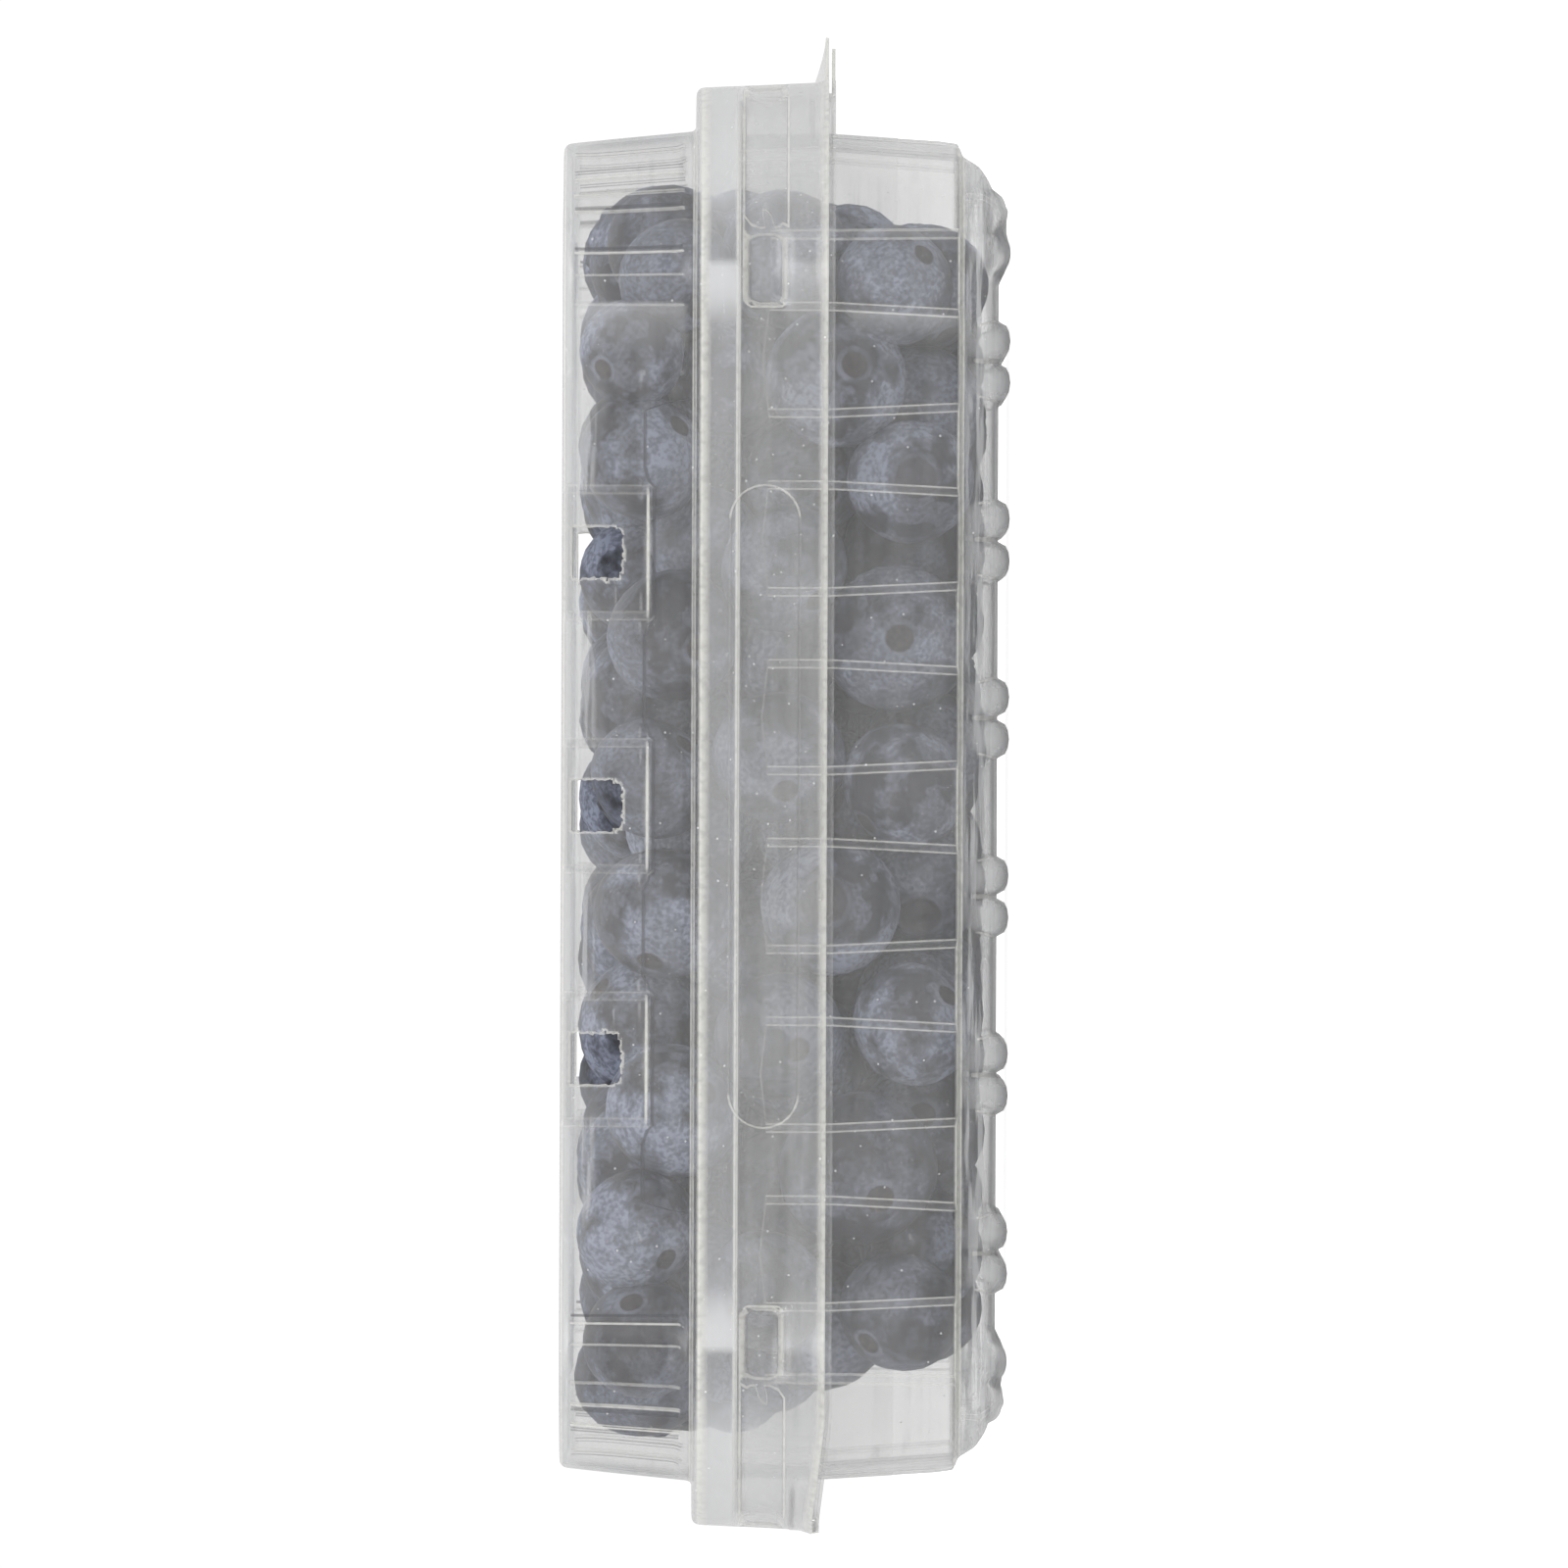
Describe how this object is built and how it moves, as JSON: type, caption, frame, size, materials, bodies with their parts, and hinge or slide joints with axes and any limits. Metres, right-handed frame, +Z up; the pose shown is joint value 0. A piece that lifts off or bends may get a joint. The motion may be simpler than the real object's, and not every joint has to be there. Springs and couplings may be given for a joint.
{
  "type": "punnet of blueberries",
  "caption": "Clear hinged oblong fruit punnet filled with blueberries, with a vented lid, a skirted snap rim, fluted sides and ribbed feet.",
  "frame": {"origin": "middle of the footprint, on the surface that the foot ribs stand on", "axes": "+Z up through the lid, +X along the length towards the opening tab, -X towards the hinge"},
  "size_m": [0.1898, 0.12, 0.0565],
  "materials": {
    "clear_base": "clear thermoformed plastic sheet",
    "clear_lid": "clear thermoformed plastic sheet",
    "blueberry_skin": "dark blue skin under a pale waxy bloom"
  },
  "bodies": {
    "base": {"base": "clear_base", "berries": "blueberry_skin"},
    "lid": {"lid": "clear_lid"}
  },
  "joints": [
    {"name": "lid_hinge", "type": "hinge", "parent": "base", "child": "lid", "pos_m": [-0.0949, 0, 0.02435], "axis": [0, -1, 0], "range_deg": [0, 150]}
  ]
}
